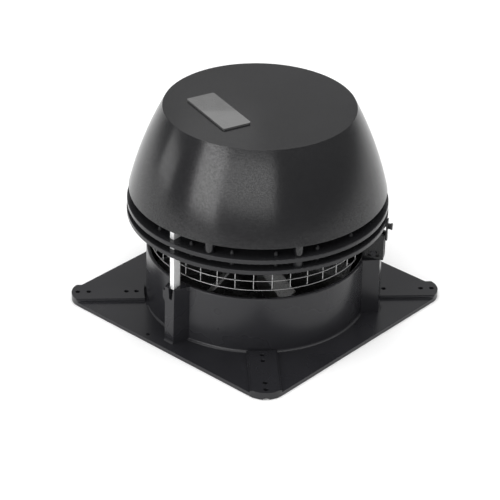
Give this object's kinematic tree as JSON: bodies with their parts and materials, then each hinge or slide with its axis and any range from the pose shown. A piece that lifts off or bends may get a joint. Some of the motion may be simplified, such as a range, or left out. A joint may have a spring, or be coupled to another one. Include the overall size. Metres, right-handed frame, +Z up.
{
  "type": "chimney fan",
  "caption": "Chimney fan with a square cast base and round flue collar, a hinged top unit with ringed dome cover, a wire guard round the outlet and a bladed impeller.",
  "frame": {"origin": "centre of the base plate's underside, on the flue axis", "axes": "+Z up along the flue, X and Y along the edges of the square base plate"},
  "size_m": [0.385, 0.385, 0.3047],
  "materials": {
    "cast_base": "satin black enamel on an aluminium casting",
    "textured_paint": "fine textured black powder coat",
    "dome_paint": "fine textured black powder coat, slightly glossy",
    "zinc_steel": "zinc plated",
    "polished_leg": "polished stainless steel",
    "badge": "glossy grey plate, bare",
    "guard_wire": "drawn stainless wire",
    "motor_laminations": "varnished laminations",
    "machined_steel": "ground",
    "seal_rubber": "matt",
    "impeller_sheet": "smoke-dulled stainless sheet"
  },
  "bodies": {
    "base": {"base_plate": "cast_base", "flue_collar": "cast_base", "hinge_bracket": "textured_paint", "bracket_screws": "zinc_steel", "hinge_bolt": "zinc_steel", "hinge_nut": "zinc_steel"},
    "top_unit": {"motor_deck": "textured_paint", "deck_pins": "textured_paint", "upper_ring": "textured_paint", "ring_pins": "textured_paint", "ring_spacers": "textured_paint", "column_screws": "zinc_steel", "bearing_housing": "textured_paint", "dome_cover": "dome_paint", "badge_plate": "badge", "guard_hoops": "guard_wire", "guard_uprights": "guard_wire", "front_leg": "polished_leg", "rear_leg": "polished_leg", "hinge_tongue": "zinc_steel", "lock_strap": "textured_paint", "strap_knob": "zinc_steel", "motor_can": "textured_paint", "end_shield": "textured_paint", "stator_core": "motor_laminations", "motor_screws": "zinc_steel", "lower_bearing": "machined_steel", "upper_bearing": "machined_steel", "shaft_seal": "seal_rubber"},
    "rotor": {"motor_shaft": "machined_steel", "rotor_core": "motor_laminations", "impeller_hub": "impeller_sheet", "impeller_blades": "impeller_sheet", "hub_washer": "zinc_steel", "hub_nut": "zinc_steel"}
  },
  "joints": [
    {"name": "top_unit_tilt", "type": "hinge", "parent": "base", "child": "top_unit", "pos_m": [0.14376, 0.083, 0.098], "axis": [-0.5, 0.866, 0], "range_deg": [0, 90]},
    {"name": "rotor_spin", "type": "hinge", "parent": "top_unit", "child": "rotor", "pos_m": [0, 0, 0.1], "axis": [0, 0, 1], "continuous": true}
  ]
}
